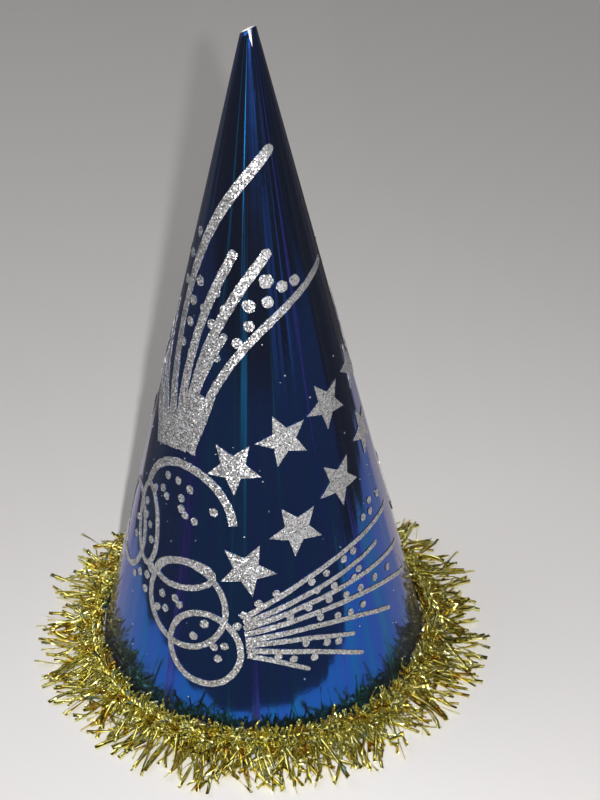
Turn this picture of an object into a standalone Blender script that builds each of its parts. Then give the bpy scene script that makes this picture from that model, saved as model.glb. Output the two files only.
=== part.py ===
"""New Year party hat: a foil-laminated card cone with a taped lap seam and a gold film garland glued round the brim.

Metres, +Z up. The brim stands on Z = 0, the cone's axis is the Z axis, the front is -Y and the lap seam is at +Y.
"""

import math

import bmesh
import bpy
from mathutils import Matrix, Vector

# Card cone
BRIM_RADIUS = 0.060
TIP_CUT_HEIGHT = 0.2277
TIP_CUT_RADIUS = 0.0022
TIP_CUT_SLOPE = 0.45
CARD_THICKNESS = 0.0004
CARD_SIDES = 96

# Lap seam: the sheet goes once round and its outer edge lies over its inner edge
SEAM_AZIMUTH = math.radians(90)
SEAM_LAP = 0.012
SEAM_RAMP = 0.014
TAPE_THICKNESS = 0.0002
TAPE_WIDTH = 0.006
TAPE_END_MARGIN = 0.010
TAPE_TOP_RADIUS = 0.006
TAPE_CLEARANCE = 0.0002

# Garland: a thread core, lengths of film binding round it, and the film strands that stand out of the binding
CORE_RADIUS = 0.0006
CORE_HEIGHT = 0.004
CORE_END_GAP = 0.003
BINDING_RADIUS = 0.0022
BINDING_SIDES = 8
GARLAND_LENGTHS = 16
LENGTH_GAP = 0.0005
STRANDS_PER_LENGTH = 20
STRAND_REACH = 0.024
STRAND_WIDTH = 0.0008
STRAND_THICKNESS = 0.0004
STRAND_LOWEST_ANGLE = math.radians(-4)
STRAND_HIGHEST_ANGLE = math.radians(108)
STRAND_DROOP = math.radians(8)

# Hot-melt dabs that hold the garland on the card
DAB_COUNT = 8
DAB_LENGTH = 0.008
DAB_HEIGHT = 0.0044

# Gap between pieces that seat on each other
SEAT_GAP = 0.0003

# Sizes that follow from those above
APEX_HEIGHT = TIP_CUT_HEIGHT * BRIM_RADIUS / (BRIM_RADIUS - TIP_CUT_RADIUS)
HALF_ANGLE = math.atan2(BRIM_RADIUS, APEX_HEIGHT)
LAP_LIFT = (CARD_THICKNESS + TAPE_THICKNESS + 2 * TAPE_CLEARANCE) / math.cos(HALF_ANGLE)
LAP_ANGLE = SEAM_LAP / BRIM_RADIUS
RAMP_ANGLE = SEAM_RAMP / BRIM_RADIUS
WALL_RADIUS_AT_CORE = BRIM_RADIUS * (1 - CORE_HEIGHT / APEX_HEIGHT)
RING_RADIUS = WALL_RADIUS_AT_CORE + LAP_LIFT + SEAT_GAP + BINDING_RADIUS / math.cos(HALF_ANGLE)
BINDING_BORE = CORE_RADIUS + SEAT_GAP
LENGTH_ANGLE = 2 * math.pi / GARLAND_LENGTHS
GOLDEN_SHARE = (math.sqrt(5) - 1) / 2
TRIM_ALLOWANCE = TIP_CUT_RADIUS


def clear_scene():
    for obj in list(bpy.data.objects):
        bpy.data.objects.remove(obj, do_unlink=True)


def new_collection(name):
    collection = bpy.data.collections.new(name)
    bpy.context.scene.collection.children.link(collection)
    return collection


def new_material(name, color, roughness, metallic):
    material = bpy.data.materials.new(name)
    material.use_nodes = True
    shader = material.node_tree.nodes["Principled BSDF"]
    shader.inputs["Base Color"].default_value = (*color, 1.0)
    shader.inputs["Roughness"].default_value = roughness
    shader.inputs["Metallic"].default_value = metallic
    material.diffuse_color = (*color, 1.0)
    return material


def new_object(name, data, collection, material=None):
    obj = bpy.data.objects.new(name, data)
    collection.objects.link(obj)
    if material:
        data.materials.append(material)
    return obj


def mesh_from(name, bm):
    mesh = bpy.data.meshes.new(name)
    bm.to_mesh(mesh)
    bm.free()
    return mesh


def make_cutter(obj):
    obj.hide_render = True
    obj.display_type = "WIRE"
    return obj


def add_boolean(obj, other, operation):
    modifier = obj.modifiers.new(operation.lower(), "BOOLEAN")
    modifier.operation = operation
    modifier.object = other
    modifier.solver = "EXACT"


def evaluated_mesh(obj, name):
    """The object's shape with its modifiers, as a mesh of its own with welded caps."""
    bpy.context.view_layer.update()
    graph = bpy.context.evaluated_depsgraph_get()
    mesh = bpy.data.meshes.new_from_object(obj.evaluated_get(graph))
    mesh.name = name
    bm = bmesh.new()
    bm.from_mesh(mesh)
    bmesh.ops.remove_doubles(bm, verts=bm.verts, dist=1e-6)
    bmesh.ops.recalc_face_normals(bm, faces=bm.faces)
    bm.to_mesh(mesh)
    bm.free()
    return mesh


def shade_round(mesh):
    mesh.shade_smooth()
    mesh.set_sharp_from_angle(angle=math.radians(30))


def cone_radius(height):
    """Radius of the card's outer face at a height, away from the lap."""
    return BRIM_RADIUS * (1 - height / APEX_HEIGHT)


def lap_lift(turn):
    """How far the sheet stands out from the plain cone after it has gone round by this angle."""
    share = (turn - (2 * math.pi - RAMP_ANGLE)) / RAMP_ANGLE
    share = min(1.0, max(0.0, share))
    return LAP_LIFT * share * share * (3 - 2 * share)


def wrapped_sheet(first_turn, last_turn, low, high, sides, stand_off):
    """An open sheet wrapped on the cone between two turns and two heights, as a bmesh with its faces outwards."""
    bm = bmesh.new()
    bmesh.ops.create_grid(bm, x_segments=sides, y_segments=1, size=0.5)
    for vert in bm.verts:
        turn = first_turn + (vert.co.x + 0.5) * (last_turn - first_turn)
        height = low + (vert.co.y + 0.5) * (high - low)
        radius = cone_radius(height) + stand_off(turn)
        azimuth = SEAM_AZIMUTH - LAP_ANGLE / 2 + turn
        vert.co = (radius * math.cos(azimuth), radius * math.sin(azimuth), height)
    return bm


def make_card_cone(parts, cutters, material):
    """The foil card: a spiral-lapped open cone, trimmed flat at the brim and aslant at the tip."""
    top = TIP_CUT_HEIGHT + TRIM_ALLOWANCE
    bm = wrapped_sheet(0.0, 2 * math.pi + LAP_ANGLE, -TRIM_ALLOWANCE, top, CARD_SIDES, lap_lift)
    cone = new_object("foil_cone", mesh_from("foil_cone", bm), parts, material)
    shell = cone.modifiers.new("card thickness", "SOLIDIFY")
    shell.thickness = CARD_THICKNESS
    shell.offset = -1.0
    shell.use_even_offset = True

    block = 3 * BRIM_RADIUS
    for name, height, slope in (("brim_trim", 0.0, 0.0), ("tip_trim", TIP_CUT_HEIGHT, TIP_CUT_SLOPE)):
        bm = bmesh.new()
        bmesh.ops.create_cube(bm, size=block)
        side = -1.0 if name == "brim_trim" else 1.0
        bmesh.ops.translate(bm, verts=bm.verts, vec=(0, 0, side * block / 2))
        cutter = make_cutter(new_object(name, mesh_from(name, bm), cutters))
        cutter.location.z = height
        cutter.rotation_euler.y = -math.atan(slope)
        add_boolean(cone, cutter, "DIFFERENCE")
    return cone


def make_seam_tape(parts, material):
    """The adhesive strip between the two layers of the lap."""
    half_tape = TAPE_WIDTH / BRIM_RADIUS / 2
    top = APEX_HEIGHT * (1 - TAPE_TOP_RADIUS / BRIM_RADIUS)
    seat = TAPE_CLEARANCE / math.cos(HALF_ANGLE)
    bm = wrapped_sheet(
        LAP_ANGLE / 2 - half_tape, LAP_ANGLE / 2 + half_tape, TAPE_END_MARGIN, top, 3, lambda turn: seat
    )
    tape = new_object("seam_tape", mesh_from("seam_tape", bm), parts, material)
    shell = tape.modifiers.new("tape thickness", "SOLIDIFY")
    shell.thickness = TAPE_THICKNESS
    shell.offset = 1.0
    return tape


def make_garland_core(parts, material):
    """The garland's thread, laid round the brim with its two ends meeting at the seam."""
    curve = bpy.data.curves.new("garland_core", "CURVE")
    curve.dimensions = "3D"
    curve.bevel_depth = CORE_RADIUS
    curve.bevel_resolution = 1
    curve.use_fill_caps = True
    spline = curve.splines.new("POLY")
    spline.points.add(CARD_SIDES)
    gap = CORE_END_GAP / RING_RADIUS
    for index, point in enumerate(spline.points):
        azimuth = SEAM_AZIMUTH + gap / 2 + index / CARD_SIDES * (2 * math.pi - gap)
        point.co = (RING_RADIUS * math.cos(azimuth), RING_RADIUS * math.sin(azimuth), CORE_HEIGHT, 1.0)
    return new_object("garland_core", curve, parts, material)


def binding_mesh():
    """One length of the film binding: a sleeve bent to the brim, with a bore for the core."""
    bm = bmesh.new()
    span = LENGTH_ANGLE - LENGTH_GAP / RING_RADIUS
    for radius in (BINDING_RADIUS, BINDING_BORE):
        bmesh.ops.create_circle(bm, segments=BINDING_SIDES, radius=radius)
    bmesh.ops.bridge_loops(bm, edges=bm.edges[:])
    stand_up = Matrix.Rotation(math.pi / 2, 4, "X")
    to_start = Matrix.Rotation(-span / 2, 4, "Z")
    to_ring = Matrix.Translation((RING_RADIUS, 0, CORE_HEIGHT))
    bmesh.ops.transform(bm, matrix=to_start @ to_ring @ stand_up, verts=bm.verts)
    bmesh.ops.spin(
        bm, geom=bm.verts[:] + bm.edges[:] + bm.faces[:], axis=(0, 0, 1), cent=(0, 0, 0), angle=span, steps=3
    )
    bmesh.ops.recalc_face_normals(bm, faces=bm.faces)
    return mesh_from("binding", bm)


def strand_points(index):
    """A film strand's root, bend and tip. Each strand keeps to its own slice of the ring, so none cross."""
    rank = (index * GOLDEN_SHARE) % 1.0
    angle = STRAND_LOWEST_ANGLE + rank * (STRAND_HIGHEST_ANGLE - STRAND_LOWEST_ANGLE)
    length_rank = (index * GOLDEN_SHARE * GOLDEN_SHARE) % 1.0
    reach = STRAND_REACH * (1 - 0.35 * abs(math.sin(angle))) * (0.85 + 0.15 * length_rank)
    root = (BINDING_BORE + BINDING_RADIUS) / 2
    bend = reach * 0.55
    azimuth = ((index + 0.5) / STRANDS_PER_LENGTH - 0.5) * (LENGTH_ANGLE - LENGTH_GAP / RING_RADIUS)
    turn = Matrix.Rotation(azimuth, 3, "Z")
    centre = Vector((RING_RADIUS, 0, CORE_HEIGHT))
    outward = Vector((math.cos(angle), 0, math.sin(angle)))
    drooped = Vector((math.cos(angle - STRAND_DROOP), 0, math.sin(angle - STRAND_DROOP)))
    knee = centre + bend * outward
    return [turn @ p for p in (centre + root * outward, knee, knee + (reach - bend) * drooped)]


def strands_mesh(cutters):
    """All the strands of one garland length, as thin three-sided film strips."""
    profile = bpy.data.curves.new("strand_profile", "CURVE")
    section = profile.splines.new("POLY")
    section.points.add(2)
    corners = ((-STRAND_WIDTH / 2, 0), (STRAND_WIDTH / 2, 0), (0, STRAND_THICKNESS))
    for point, (across, through) in zip(section.points, corners):
        point.co = (across, through - STRAND_THICKNESS / 3, 0, 1)
    section.use_cyclic_u = True
    profile_object = make_cutter(new_object("strand_profile", profile, cutters))

    curve = bpy.data.curves.new("strands", "CURVE")
    curve.dimensions = "3D"
    curve.bevel_mode = "OBJECT"
    curve.bevel_object = profile_object
    curve.use_fill_caps = True
    for index in range(STRANDS_PER_LENGTH):
        spline = curve.splines.new("POLY")
        spline.points.add(2)
        for point, place in zip(spline.points, strand_points(index)):
            point.co = (*place, 1.0)
    strands = new_object("strands", curve, cutters)
    mesh = evaluated_mesh(strands, "strands")
    bpy.data.objects.remove(strands)
    return mesh


def make_garland_lengths(parts, cutters, material):
    """The film fringe: equal lengths of binding with their strands, set round the brim on the core."""
    binding = new_object("binding", binding_mesh(), cutters)
    strands = make_cutter(new_object("strands", strands_mesh(cutters), cutters))
    add_boolean(binding, strands, "UNION")
    fringe = evaluated_mesh(binding, "tinsel_length")
    bpy.data.objects.remove(binding)
    bpy.data.objects.remove(strands)
    fringe.materials.clear()
    fringe.materials.append(material)
    lengths = []
    for index in range(GARLAND_LENGTHS):
        length = new_object(f"tinsel_{index + 1:02d}", fringe, parts)
        length.rotation_euler.z = SEAM_AZIMUTH + (index + 0.5) * LENGTH_ANGLE
        lengths.append(length)
    return lengths


def make_glue_dabs(parts, cutters, material):
    """Hot-melt dabs squeezed between the card and the binding."""
    neck = RING_RADIUS - BINDING_RADIUS - WALL_RADIUS_AT_CORE
    middle = WALL_RADIUS_AT_CORE + neck / 2
    depth = 2 * neck

    bm = bmesh.new()
    bmesh.ops.create_uvsphere(bm, u_segments=14, v_segments=8, radius=0.5)
    bmesh.ops.scale(bm, vec=(depth, DAB_LENGTH, DAB_HEIGHT), verts=bm.verts)
    bmesh.ops.translate(bm, vec=(middle, 0, CORE_HEIGHT), verts=bm.verts)
    blob = new_object("dab_blob", mesh_from("dab_blob", bm), cutters)

    bm = bmesh.new()
    gap = SEAT_GAP / math.cos(HALF_ANGLE)
    bmesh.ops.create_cone(
        bm, cap_ends=True, segments=CARD_SIDES, depth=APEX_HEIGHT,
        radius1=BRIM_RADIUS + gap, radius2=gap,
    )
    bmesh.ops.translate(bm, vec=(0, 0, APEX_HEIGHT / 2), verts=bm.verts)
    wall = make_cutter(new_object("dab_wall_cutter", mesh_from("dab_wall_cutter", bm), cutters))

    bm = bmesh.new()
    bmesh.ops.create_cone(
        bm, cap_ends=True, segments=3 * BINDING_SIDES, depth=2 * DAB_LENGTH,
        radius1=BINDING_RADIUS + SEAT_GAP, radius2=BINDING_RADIUS + SEAT_GAP,
    )
    bmesh.ops.rotate(bm, matrix=Matrix.Rotation(math.pi / 2, 3, "X"), verts=bm.verts)
    bmesh.ops.translate(bm, vec=(RING_RADIUS, 0, CORE_HEIGHT), verts=bm.verts)
    seat = make_cutter(new_object("dab_seat_cutter", mesh_from("dab_seat_cutter", bm), cutters))

    add_boolean(blob, wall, "DIFFERENCE")
    add_boolean(blob, seat, "DIFFERENCE")
    mesh = evaluated_mesh(blob, "glue_dab")
    shade_round(mesh)
    bpy.data.objects.remove(blob)
    mesh.materials.clear()
    mesh.materials.append(material)
    for index in range(DAB_COUNT):
        dab = new_object(f"glue_dab_{index + 1}", mesh, parts)
        dab.rotation_euler.z = SEAM_AZIMUTH + (index + 0.5) * 2 * math.pi / DAB_COUNT


def main():
    clear_scene()
    parts = new_collection("party_hat")
    cutters = new_collection("cutters")
    foil = new_material("blue_foil_card", (0.02, 0.11, 0.55), 0.15, 1.0)
    gold = new_material("gold_film", (0.80, 0.56, 0.10), 0.2, 1.0)
    thread = new_material("core_thread", (0.72, 0.60, 0.28), 0.8, 0.0)
    tape = new_material("clear_tape", (0.85, 0.84, 0.78), 0.3, 0.0)
    glue = new_material("hot_melt", (0.86, 0.82, 0.70), 0.4, 0.0)

    make_card_cone(parts, cutters, foil)
    make_seam_tape(parts, tape)
    make_garland_core(parts, thread)
    make_garland_lengths(parts, cutters, gold)
    make_glue_dabs(parts, cutters, glue)

    hat = bpy.data.objects.new("hat", None)
    parts.objects.link(hat)
    for obj in parts.objects:
        if obj is not hat:
            obj.parent = hat


main()
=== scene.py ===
"""Looks of the New Year party hat: mirror foil on card, glitter ornament, gold film garland."""

import math
import random

import bmesh
import bpy
from mathutils import Matrix, Vector


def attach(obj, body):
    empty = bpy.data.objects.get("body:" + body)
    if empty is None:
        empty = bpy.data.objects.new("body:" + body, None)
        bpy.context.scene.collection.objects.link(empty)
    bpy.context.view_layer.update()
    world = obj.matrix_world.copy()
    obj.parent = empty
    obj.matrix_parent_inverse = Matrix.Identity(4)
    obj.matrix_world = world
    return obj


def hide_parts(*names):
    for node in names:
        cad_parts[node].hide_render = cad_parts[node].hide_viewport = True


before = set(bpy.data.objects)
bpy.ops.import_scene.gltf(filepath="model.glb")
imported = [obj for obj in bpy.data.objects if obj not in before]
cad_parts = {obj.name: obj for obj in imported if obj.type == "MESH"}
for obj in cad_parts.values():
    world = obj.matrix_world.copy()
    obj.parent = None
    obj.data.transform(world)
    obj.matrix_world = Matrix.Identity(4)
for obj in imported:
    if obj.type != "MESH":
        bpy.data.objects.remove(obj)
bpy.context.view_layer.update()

MM = 0.001

# The card cone, as the solids have it
BRIM_RADIUS = 60.0 * MM
TIP_CUT_HEIGHT = 227.7 * MM
TIP_CUT_RADIUS = 2.2 * MM
TIP_CUT_SLOPE = 0.45
CARD_THICKNESS = 0.4 * MM
APEX_HEIGHT = TIP_CUT_HEIGHT * BRIM_RADIUS / (BRIM_RADIUS - TIP_CUT_RADIUS)
HALF_ANGLE = math.atan2(BRIM_RADIUS, APEX_HEIGHT)
SLANT = math.hypot(BRIM_RADIUS, APEX_HEIGHT)

# How the sheet is trimmed: its tip is cut a hair below the solids' cut, and leans a little more
TIP_TRIM_HEIGHT = TIP_CUT_HEIGHT - 0.4 * MM
TIP_TRIM_LEAN = 0.21
TIP_TRIM_SPARE = 2.2 * MM
BRIM_TRIM_SPARE = 2 * MM
SHEET_COLUMNS = 640
SHEET_ROWS = 48

# The lap seam at the back; the margins are angles that keep clear of the sheet's two edges, and a
# line that jumps in angle has crossed the seam
SEAM_LAP = 12.0 * MM
SEAM_RAMP = 14.0 * MM
LAP_ANGLE = SEAM_LAP / BRIM_RADIUS
RAMP_ANGLE = SEAM_RAMP / BRIM_RADIUS
LAP_LIFT = 1.0 * MM / math.cos(HALF_ANGLE)
FIRST_AROUND = -math.pi - LAP_ANGLE / 2
LAST_AROUND = math.pi + LAP_ANGLE / 2
LAP_EDGE_AROUND = -math.pi + LAP_ANGLE / 2
STRAND_EDGE_MARGIN = 0.03
GLITTER_EDGE_MARGIN = 0.02
GLITTER_END_MARGIN = 0.012
SEAM_JUMP = 0.01

# Fine lines that rolling left up the foil: angle from the front and width in radians, and height
# in millimetres; they fade out towards the tip, as the ridges do, which also drift round
ROLL_LINES = (
    (-2.3, 0.035, 0.07), (-1.15, 0.03, -0.05), (-0.62, 0.03, 0.06), (-0.30, 0.03, 0.05),
    (0.17, 0.025, 0.06), (0.31, 0.03, -0.07), (0.40, 0.025, 0.07), (0.66, 0.03, 0.06),
    (1.4, 0.04, -0.06), (2.2, 0.03, 0.07),
)
RIDGE_FADE = 70 * MM
RIDGE_DRIFT = 60 * MM

# The pinched crease below the tip: angle and width in radians, height in millimetres, and how
# far down from the apex it ends
CREASE_AROUND = 0.16
CREASE_WIDTH = 0.05
CREASE_HEIGHT = 0.13
CREASE_END = 32 * MM
CREASE_FADE = 14 * MM
# How thick the white stroke is that paints the crease's highlight
HIGHLIGHT_STROKE_THICKNESS = 0.05 * MM

# The glitter ornament; each shape lies a hair above the one before it
GLITTER_THICKNESS = 0.10 * MM
GLITTER_LIFT = 0.05 * MM
GLITTER_LIFT_STEP = 0.0012 * MM
RING_WELD = 0.25 * MM
STROKE_UNEVENNESS = 0.07
DOT_UNEVENNESS = 0.10
DOT_SIDES = 14
STAR_WAIST = 0.45
STAR_WOBBLE = 0.12
FAN_DOT_RADIUS = 1.3
LOOSE_FLAKES = 170
FLAKE_SEED = 29
SHARP_RIM = math.radians(40)

# The garland, as the solids have it
CORE_HEIGHT = 4.0 * MM
CORE_END_GAP = 3.0 * MM
BINDING_RADIUS = 2.2 * MM
SEAT_GAP = 0.3 * MM
WALL_RADIUS_AT_CORE = BRIM_RADIUS * (1 - CORE_HEIGHT / APEX_HEIGHT)
RING_RADIUS = WALL_RADIUS_AT_CORE + LAP_LIFT + SEAT_GAP + BINDING_RADIUS / math.cos(HALF_ANGLE)
GARLAND_LENGTHS = 16
LENGTH_GAP = 0.5 * MM

# The wound sleeve, in shares of the binding's radius, and its slanting ridges
SLEEVE_OUTSIDE = 0.66
SLEEVE_MIDDLE = 0.55
SLEEVE_BORE = 0.4
SLEEVE_SIDES = 14
SLEEVE_STEPS = 24
RIDGE_SHARE = 0.14
RIDGES_ROUND_SLEEVE = 3
RIDGES_ROUND_RING = 160

# The film strands: the share of each sort, where they start, how they bend, and how far they
# keep from the card and, in millimetres, from the table
STRANDS_PER_LENGTH = 305
FRINGE_SEED = 500
STRAND_SORTS = {"fluff": 50, "strip": 13, "riser": 2, "lining": 31}
STRAND_ROOT_SHARES = (0.42, 0.75)
STRAND_STEPS = 6
STRAND_DROOP = 0.08
STRAND_TWIST = 0.35
STRAND_REACH = 23.2 * MM
STRAND_CLEARANCE = 0.85 * MM
KINK_STEPS = (2, 3, 4)
KINK_TURNS = (0.6, 1.3)
TABLE_CLEARANCES = (0.8, 1.2)
TABLE_REBOUND = 0.15
FILM_HALF_WIDTH = 0.5 * MM
FILM_HALF_THICKNESS = 0.025 * MM
CURVE_WELD = 1e-7

# The core's two plies
PLY_RADIUS = 0.31 * MM
PLY_OFFSET = 0.29 * MM
PLY_STEPS = 720
PLY_TURNS = 64

# The studio, in metres
PALE_ROOM = (0.62, 0.60, 0.59)
ROOM_LIGHT = 0.11
ROOM_TINT = (1.0, 0.98, 0.96)
FLOOR_HALF = 4.0
FLOOR_DROP = 0.1 * MM
FLOOR_MIDDLE = (0.03, 0.36, 0.0)
FLOOR_FADE_START = 0.46
FLOOR_FADE_END = 0.80
WALL_RADIUS = 1.6
WALL_HEIGHT = 2.2
# Level cards that paint the floor's reflection: their lift and front edges; the left one paints
# the hat's shadow
CARD_LIFT = 0.4 * MM
CARD_FRONT = -0.098
LEFT_SHADOW_CARD_FRONT = -0.085

# The camera: where it stands before the hat, how it turns, and its focal length in the picture
EYE_DISTANCE = 528.05 * MM
EYE_RISE = math.radians(42.322)
PAN = math.radians(2.072)
TILT = math.radians(-33.234)
ROLL = math.radians(-0.285)
FOCAL_PIXELS = 1384.0
PICTURE_HEIGHT = 800
SENSOR_SIZE = 36.0


def smooth_step(value):
    value = min(1.0, max(0.0, value))
    return value * value * (3 - 2 * value)


# Shapes shared by the pieces


def piece_from(name, bm, *materials):
    """Makes an object of a bmesh and puts it in the scene."""
    mesh = bpy.data.meshes.new(name)
    bm.to_mesh(mesh)
    bm.free()
    return piece_of(name, mesh, *materials)


def piece_of(name, mesh, *materials):
    for material in materials:
        mesh.materials.append(material)
    obj = bpy.data.objects.new(name, mesh)
    bpy.context.scene.collection.objects.link(obj)
    return obj


def join_into(bm, fresh):
    """Moves the shapes of a fresh bmesh into another and gives back their vertices."""
    mesh = bpy.data.meshes.new("fresh")
    fresh.to_mesh(mesh)
    fresh.free()
    known = len(bm.verts)
    bm.from_mesh(mesh)
    bpy.data.meshes.remove(mesh)
    bm.verts.ensure_lookup_table()
    return bm.verts[known:]


def curve_to_mesh(name, curve):
    """Turns a bevelled curve into a welded mesh whose faces point outwards."""
    holder = bpy.data.objects.new(name, curve)
    bpy.context.scene.collection.objects.link(holder)
    bpy.context.view_layer.update()
    graph = bpy.context.evaluated_depsgraph_get()
    mesh = bpy.data.meshes.new_from_object(holder.evaluated_get(graph))
    mesh.name = name
    bpy.data.objects.remove(holder)
    bm = bmesh.new()
    bm.from_mesh(mesh)
    bmesh.ops.remove_doubles(bm, verts=bm.verts, dist=CURVE_WELD)
    bmesh.ops.recalc_face_normals(bm, faces=bm.faces)
    bm.to_mesh(mesh)
    bm.free()
    mesh.materials.clear()
    return mesh


def foil_unevenness(around, slant):
    """How far the rolled foil stands off a true cone.

    It is a little out of round, has faint rolling ridges up the cone, and is creased at the tip.
    """
    fade = smooth_step(slant / RIDGE_FADE)
    drift = slant / RIDGE_DRIFT
    # Each wave has its height in millimetres, its count round the cone, its start and its drift
    ridges = (
        0.055 * math.sin(17 * around + 0.9 * math.sin(1.3 * drift))
        + 0.040 * math.sin(29 * around + 1.7 + 0.5 * drift)
        + 0.022 * math.sin(47 * around + 0.4 - 0.3 * drift)
        + 0.12 * math.sin(5 * around + 0.6 + 0.4 * drift)
        + 0.22 * math.sin(2 * around + 1.1)
    )
    for place, width, rise in ROLL_LINES:
        ridges += rise * math.exp(-(((around - place) / width) ** 2))
    crease = CREASE_HEIGHT * math.exp(-(((around - CREASE_AROUND) / CREASE_WIDTH) ** 2))
    crease *= smooth_step((CREASE_END - slant) / CREASE_FADE)
    return (ridges * fade + crease) * MM


def lap_lift(around):
    """The outer edge of the sheet rides up over the inner one at the back."""
    return LAP_LIFT * smooth_step((around - (math.pi - LAP_ANGLE / 2 - RAMP_ANGLE)) / RAMP_ANGLE)


def on_foil(around, slant, above=0.0):
    """A point by its angle from the front, distance down from the apex and height off the foil."""
    off = foil_unevenness(around, slant) + above
    radius = slant * math.sin(HALF_ANGLE) + lap_lift(around) + off * math.cos(HALF_ANGLE)
    height = APEX_HEIGHT - slant * math.cos(HALF_ANGLE) + off * math.sin(HALF_ANGLE)
    return Vector((radius * math.sin(around), -radius * math.cos(around), height))


def foil_reach(around, height):
    """How far out the foil stands at a height; where the sheet laps, its outer edge counts."""
    if around < LAP_EDGE_AROUND + STRAND_EDGE_MARGIN:
        around += 2 * math.pi
    off = foil_unevenness(around, (APEX_HEIGHT - height) / math.cos(HALF_ANGLE))
    cone = BRIM_RADIUS * (1 - height / APEX_HEIGHT)
    return cone + lap_lift(around) + off / math.cos(HALF_ANGLE)


# Materials


def new_material(name, color, roughness, metallic=0.0):
    """A material with its plain colour and gloss, which further nodes may vary."""
    material = bpy.data.materials.new(name)
    material.use_nodes = True
    shader = material.node_tree.nodes["Principled BSDF"]
    shader.inputs["Base Color"].default_value = (*color, 1.0)
    shader.inputs["Roughness"].default_value = roughness
    shader.inputs["Metallic"].default_value = metallic
    return material, material.node_tree, shader


def feed(tree, value, socket):
    """Links another node's output to a socket, or sets the socket to a plain value."""
    if isinstance(value, bpy.types.NodeSocket):
        tree.links.new(value, socket)
    else:
        socket.default_value = value


def add_node(tree, kind, **values):
    """Adds a shader node; values name its properties, or its input sockets with _ for a space."""
    item = tree.nodes.new(kind)
    for key, value in values.items():
        if hasattr(item, key):
            setattr(item, key, value)
        else:
            feed(tree, value, item.inputs[key.replace("_", " ")])
    return item


def add_math(tree, operation, *values, kind="ShaderNodeMath"):
    """Adds a sum on values and gives back its result."""
    item = add_node(tree, kind, operation=operation)
    for value, socket in zip(values, item.inputs):
        feed(tree, value, socket)
    return item.outputs[0]


def add_ramp(tree, factor, *stops):
    ramp = add_node(tree, "ShaderNodeValToRGB", Fac=factor)
    elements = ramp.color_ramp.elements
    while len(elements) < len(stops):
        elements.new(0.5)
    for element, (place, color) in zip(elements, stops):
        element.position = place
        element.color = (*color, 1.0)
    return ramp.outputs["Color"]


def add_bump(tree, shader, height, strength, distance):
    bump = add_node(tree, "ShaderNodeBump", Height=height, Strength=strength, Distance=distance)
    tree.links.new(bump.outputs["Normal"], shader.inputs["Normal"])


def mix_shaders(tree, factor, first, second):
    mix = tree.nodes.new("ShaderNodeMixShader")
    for value, socket in zip((factor, first, second), mix.inputs):
        tree.links.new(value, socket)
    return mix.outputs["Shader"]


def make_uneven_tone():
    """A shader group that varies a colour, and gives a height, by soft noise at a stated size."""
    group = bpy.data.node_groups.new("uneven tone", "ShaderNodeTree")
    for way, name, kind in (
        ("INPUT", "Color", "NodeSocketColor"),
        ("INPUT", "Scale", "NodeSocketFloat"),
        ("INPUT", "Amount", "NodeSocketFloat"),
        ("OUTPUT", "Color", "NodeSocketColor"),
        ("OUTPUT", "Height", "NodeSocketFloat"),
    ):
        group.interface.new_socket(name, in_out=way, socket_type=kind)
    entry = group.nodes.new("NodeGroupInput").outputs
    leave = group.nodes.new("NodeGroupOutput").inputs
    place = group.nodes.new("ShaderNodeTexCoord").outputs["Object"]
    noise = add_node(
        group, "ShaderNodeTexNoise", Vector=place, Scale=entry["Scale"], Detail=4.0, Roughness=0.6
    ).outputs["Fac"]
    raised = add_math(group, "MULTIPLY_ADD", noise, entry["Amount"], 0.5)
    half = add_math(group, "MULTIPLY", entry["Amount"], 0.5)
    shade = add_node(
        group, "ShaderNodeMix", data_type="RGBA", blend_type="OVERLAY",
        Factor=1.0, A=entry["Color"], B=add_math(group, "SUBTRACT", raised, half),
    )
    group.links.new(shade.outputs["Result"], leave["Color"])
    group.links.new(noise, leave["Height"])
    return group


def place_uneven_tone(tree, shader, group, scale, amount):
    """Lays the uneven tone on a material's own colour and gives back its node."""
    item = add_node(tree, "ShaderNodeGroup", node_tree=group, Scale=scale, Amount=amount)
    item.inputs["Color"].default_value = shader.inputs["Base Color"].default_value
    tree.links.new(item.outputs["Color"], shader.inputs["Base Color"])
    return item


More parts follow.
